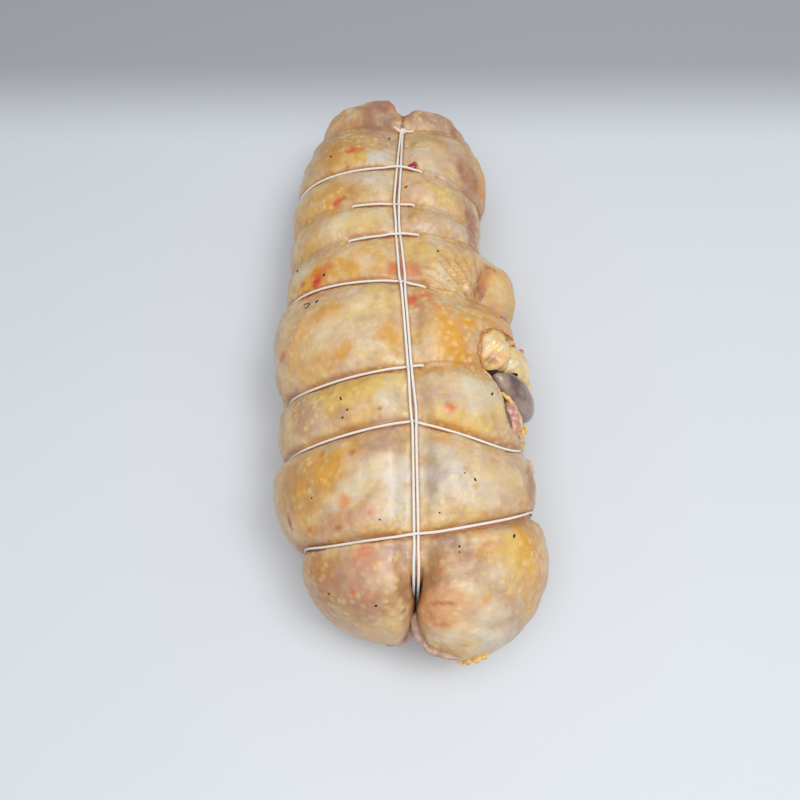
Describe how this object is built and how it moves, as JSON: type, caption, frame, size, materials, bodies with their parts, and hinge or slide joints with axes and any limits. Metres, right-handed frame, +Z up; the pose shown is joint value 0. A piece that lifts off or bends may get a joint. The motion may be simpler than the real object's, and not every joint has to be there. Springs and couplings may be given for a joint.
{
  "type": "raw stuffed guinea fowl roast",
  "caption": "Raw boned and stuffed guinea fowl, rolled in its skin and tied with cotton string into a long bulging roast with two lobes at each end.",
  "frame": {"origin": "on the board below the middle of the roast's outer box", "axes": "+Y along the roast towards the knotted end, +X to the side where the skin gapes, +Z up"},
  "size_m": [0.1199, 0.2907, 0.0741],
  "materials": {
    "skin": "moist raw poultry skin, cream with ochre and mauve patches",
    "string": "off-white three-ply cotton string",
    "fat": "pale yellow raw fat, glossy",
    "muscle": "purple-grey raw muscle, glossy",
    "muscle_pink": "pink raw muscle, moist"
  },
  "bodies": {
    "root": {"stuffed_roll": "skin", "string_loop_1": "string", "string_loop_2": "string", "string_loop_3": "string", "string_loop_4": "string", "string_loop_5": "string", "string_loop_6": "string", "string_loop_7": "string", "string_loop_8": "string", "string_strand_left": "string", "string_strand_right": "string", "string_knot": "string", "fat_lump": "fat", "thigh_muscle": "muscle", "side_fat": "fat", "muscle_strip": "muscle_pink"}
  },
  "joints": []
}
